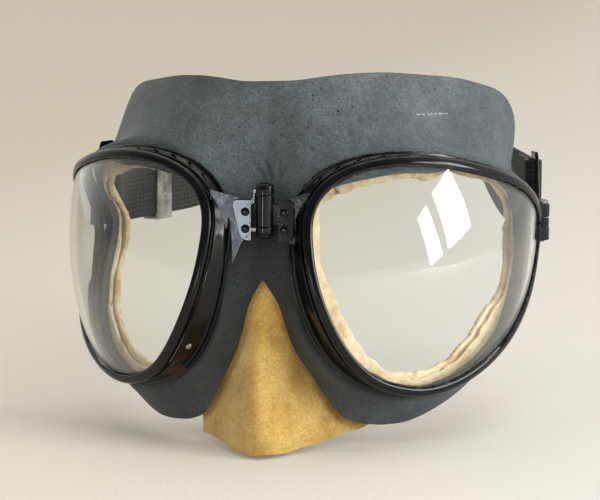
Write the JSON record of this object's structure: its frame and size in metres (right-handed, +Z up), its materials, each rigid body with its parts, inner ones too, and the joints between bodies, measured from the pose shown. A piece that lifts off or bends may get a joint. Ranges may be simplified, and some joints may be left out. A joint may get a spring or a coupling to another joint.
{
  "type": "pilot goggles",
  "caption": "Wrap-round pilot goggles with deep metal eyecups on a rubber mask, hinged at the bridge, with a chamois nose guard and an elastic strap.",
  "frame": {"origin": "where the wearer's nose bridge meets the mask, midway between the eyecups, level with the lens centres", "axes": "+Z up, -Y to the front, +X to the viewer's right as seen from the front"},
  "size_m": [0.1642, 0.2173, 0.119],
  "materials": {
    "glass": "clear, polished",
    "enamel": "gloss black enamel",
    "steel": "plain steel",
    "rubber": "matt, aged",
    "felt": "cream felt pad",
    "chamois": "soft chamois",
    "webbing": "black elastic webbing"
  },
  "bodies": {
    "left_half": {"lens_left": "glass", "lens_rim_left": "enamel", "rim_screw_left": "steel", "strap_tab_left": "enamel", "eyecup_shell_left": "enamel", "mask_left": "rubber", "lining_left": "felt", "leaf_rivet_lower_left": "steel", "leaf_rivet_upper_left": "steel", "hinge_leaf_left": "enamel", "hinge_pin": "enamel", "mask_bridge": "rubber", "nose_guard": "chamois", "strap": "webbing"},
    "right_half": {"lens_right": "glass", "lens_rim_right": "enamel", "rim_screw_right": "steel", "strap_tab_right": "enamel", "eyecup_shell_right": "enamel", "mask_right": "rubber", "lining_right": "felt", "leaf_rivet_lower_right": "steel", "leaf_rivet_upper_right": "steel", "hinge_leaf_right": "enamel"},
    "slide": {"strap_slide": "steel"}
  },
  "joints": [
    {"name": "bridge_hinge", "type": "hinge", "parent": "left_half", "child": "right_half", "pos_m": [0.0022, -0.01504, 0.0234], "axis": [0, 0, 1], "range_deg": [-20, 32], "stiffness_Nm_per_rad": 0.15, "deforming": ["mask_bridge", "nose_guard", "strap"]},
    {"name": "strap_adjust", "type": "slide", "parent": "left_half", "child": "slide", "axis": [0.3256, 0.9455, 0], "range_m": [-0.014, 0.014]}
  ]
}
